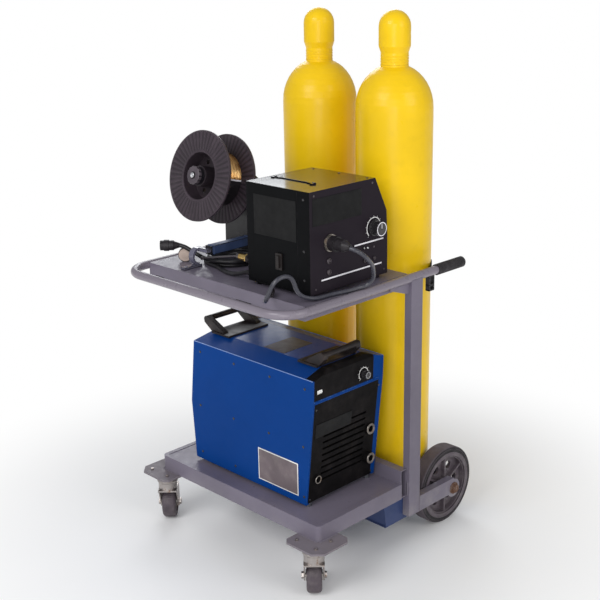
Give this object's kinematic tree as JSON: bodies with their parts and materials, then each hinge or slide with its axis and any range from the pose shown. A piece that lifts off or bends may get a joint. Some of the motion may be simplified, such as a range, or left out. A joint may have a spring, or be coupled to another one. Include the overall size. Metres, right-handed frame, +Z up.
{
  "type": "mig welder on cart",
  "caption": "Wheeled cart with a boxed MIG power source, a wire feeder, an open wire spool and tall gas cylinders with valve caps.",
  "frame": {"origin": "on the floor under the middle of the cart's overall width and length", "axes": "+X towards the side that both control panels face, +Y towards the handles and gas cylinders, +Z up"},
  "size_m": [0.8184, 0.8548, 1.6042],
  "materials": {
    "cart_paint": "satin",
    "plate_paint": "satin",
    "tray_paint": "satin",
    "loop_paint": "gloss",
    "grip_rubber": "ribbed",
    "strap_web": "woven",
    "bolt_steel": "rusty",
    "tyre_rubber": "matte",
    "hub_iron": "painted",
    "caster_zinc": "zinc",
    "cylinder_yellow": "gloss",
    "brass": "machined",
    "handwheel_paint": "satin",
    "case_blue": "gloss",
    "base_steel": "satin",
    "panel_black": "matte",
    "handle_black": "ribbed",
    "knob_black": "gloss",
    "switch_white": "gloss",
    "fan_plastic": "matte",
    "motor_steel": "satin",
    "core_steel": "varnished",
    "sink_aluminium": "extruded",
    "board_green": "solder mask",
    "feeder_black": "gloss",
    "latch_black": "satin",
    "toggle_chrome": "polished",
    "socket_brass": "nickel worn",
    "roll_steel": "ground",
    "support_black": "satin",
    "spool_plastic": "moulded",
    "welding_wire": "copper coated",
    "lead_black": "satin",
    "lead_grey": "satin",
    "plug_black": "satin"
  },
  "bodies": {
    "cart": {"deck": "cart_paint", "corner_plates": "plate_paint", "cylinder_tray": "tray_paint", "posts": "cart_paint", "axle_arms": "cart_paint", "shelf_pan": "cart_paint", "shelf_loop": "loop_paint", "hand_grips": "grip_rubber", "cylinder_strap": "strap_web", "axle_bolts": "bolt_steel", "caster_mounts": "caster_zinc", "cylinder_right": "cylinder_yellow", "cylinder_left": "cylinder_yellow", "cylinder_valves": "brass", "power_case": "case_blue", "power_base": "base_steel", "control_panel": "panel_black", "louvre_panel": "panel_black", "carry_handles": "handle_black", "output_sockets": "panel_black", "fan_motor": "motor_steel", "transformer": "core_steel", "heat_sink": "sink_aluminium", "power_board": "board_green", "feeder_case": "feeder_black", "gun_socket": "socket_brass", "drive_motor": "motor_steel", "gas_inlet": "brass", "spool_support": "support_black", "control_lead": "lead_black", "control_coil": "lead_black", "shelf_plugs": "plug_black", "gun_lead": "lead_grey", "lead_plugs": "plug_black"},
    "rear_wheel_right": {"rear_tyre_right": "tyre_rubber", "rear_hub_right": "hub_iron"},
    "rear_wheel_left": {"rear_tyre_left": "tyre_rubber", "rear_hub_left": "hub_iron"},
    "caster_right": {"caster_fork_right": "caster_zinc"},
    "caster_left": {"caster_fork_left": "caster_zinc"},
    "caster_wheel_right": {"caster_tyre_right": "tyre_rubber", "caster_hub_right": "caster_zinc"},
    "caster_wheel_left": {"caster_tyre_left": "tyre_rubber", "caster_hub_left": "caster_zinc"},
    "cap_right": {"cap_right": "cylinder_yellow"},
    "cap_left": {"cap_left": "cylinder_yellow"},
    "valve_right": {"valve_wheel_right": "handwheel_paint"},
    "valve_left": {"valve_wheel_left": "handwheel_paint"},
    "power_knob": {"power_knob": "knob_black"},
    "power_switch": {"power_switch": "switch_white"},
    "fan": {"fan": "fan_plastic"},
    "feeder_door": {"feeder_door": "feeder_black"},
    "door_latch": {"door_latch": "latch_black"},
    "speed_knob": {"speed_knob": "knob_black"},
    "jog_switch": {"jog_switch": "toggle_chrome"},
    "drive_roll": {"drive_roll": "roll_steel"},
    "pressure_arm": {"pressure_arm": "roll_steel"},
    "pressure_roll": {"pressure_roll": "roll_steel"},
    "spool": {"spool": "spool_plastic", "wire_winding": "welding_wire"}
  },
  "joints": [
    {"name": "rear_wheel_right_spin", "type": "hinge", "parent": "cart", "child": "rear_wheel_right", "pos_m": [0.3, 0.30035, 0.127], "axis": [1, 0, 0], "continuous": true},
    {"name": "rear_wheel_left_spin", "type": "hinge", "parent": "cart", "child": "rear_wheel_left", "pos_m": [-0.3, 0.30035, 0.127], "axis": [1, 0, 0], "continuous": true},
    {"name": "caster_right_swivel", "type": "hinge", "parent": "cart", "child": "caster_right", "pos_m": [0.331, -0.30965, 0.118], "axis": [0, 0, 1], "continuous": true},
    {"name": "caster_right_roll", "type": "hinge", "parent": "caster_right", "child": "caster_wheel_right", "pos_m": [0.30767, -0.28631, 0.051], "axis": [-0.7071, -0.7071, 0], "continuous": true},
    {"name": "caster_left_swivel", "type": "hinge", "parent": "cart", "child": "caster_left", "pos_m": [-0.331, -0.30965, 0.118], "axis": [0, 0, 1], "continuous": true},
    {"name": "caster_left_roll", "type": "hinge", "parent": "caster_left", "child": "caster_wheel_left", "pos_m": [-0.35434, -0.28631, 0.051], "axis": [-0.7071, -0.7071, 0], "continuous": true},
    {"name": "cap_right_lift", "type": "slide", "parent": "cart", "child": "cap_right", "axis": [0, 0, 1], "range_m": [0, 0.17]},
    {"name": "cap_left_lift", "type": "slide", "parent": "cart", "child": "cap_left", "axis": [0, 0, 1], "range_m": [0, 0.17]},
    {"name": "valve_right_turn", "type": "hinge", "parent": "cart", "child": "valve_right", "pos_m": [0.153, 0.23635, 1.52718], "axis": [0, 0, 1], "range_deg": [0, 720]},
    {"name": "valve_left_turn", "type": "hinge", "parent": "cart", "child": "valve_left", "pos_m": [-0.153, 0.23635, 1.52718], "axis": [0, 0, 1], "range_deg": [0, 720]},
    {"name": "power_knob_turn", "type": "hinge", "parent": "cart", "child": "power_knob", "pos_m": [0.284, -0.04665, 0.597], "axis": [1, 0, 0], "range_deg": [-150, 150]},
    {"name": "power_switch_rock", "type": "hinge", "parent": "cart", "child": "power_switch", "pos_m": [0.278, -0.22565, 0.592], "axis": [0, 1, 0], "range_deg": [0, 22]},
    {"name": "fan_spin", "type": "hinge", "parent": "cart", "child": "fan", "pos_m": [-0.2, -0.10465, 0.386], "axis": [1, 0, 0], "continuous": true},
    {"name": "feeder_door_swing", "type": "hinge", "parent": "cart", "child": "feeder_door", "pos_m": [0.16, -0.19265, 1.173], "axis": [-1, 0, 0], "range_deg": [0, 95]},
    {"name": "door_latch_turn", "type": "hinge", "parent": "feeder_door", "child": "door_latch", "pos_m": [0.191, -0.28065, 0.967], "axis": [0, 1, 0], "range_deg": [0, 90]},
    {"name": "speed_knob_turn", "type": "hinge", "parent": "cart", "child": "speed_knob", "pos_m": [0.306, -0.02765, 1.033], "axis": [1, 0, 0], "range_deg": [-150, 150]},
    {"name": "jog_switch_flick", "type": "hinge", "parent": "cart", "child": "jog_switch", "pos_m": [0.305, -0.06865, 0.982], "axis": [0, 1, 0], "range_deg": [-15, 15], "stiffness_Nm_per_rad": 0.02},
    {"name": "drive_roll_spin", "type": "hinge", "parent": "cart", "child": "drive_roll", "pos_m": [0.19, -0.20465, 1.0037], "axis": [0, 1, 0], "continuous": true},
    {"name": "pressure_arm_swing", "type": "hinge", "parent": "cart", "child": "pressure_arm", "pos_m": [0.146, -0.20465, 1.0403], "axis": [0, -1, 0], "range_deg": [0, 35]},
    {"name": "pressure_roll_spin", "type": "hinge", "parent": "pressure_arm", "child": "pressure_roll", "pos_m": [0.19, -0.20465, 1.0443], "axis": [0, 1, 0], "continuous": true},
    {"name": "spool_spin", "type": "hinge", "parent": "cart", "child": "spool", "pos_m": [-0.223, -0.20965, 1.139], "axis": [0, 0.9703, -0.2419], "continuous": true}
  ],
  "couplings": [
    {"joint": "pressure_roll_spin", "follows": "drive_roll_spin", "ratio": -1}
  ]
}
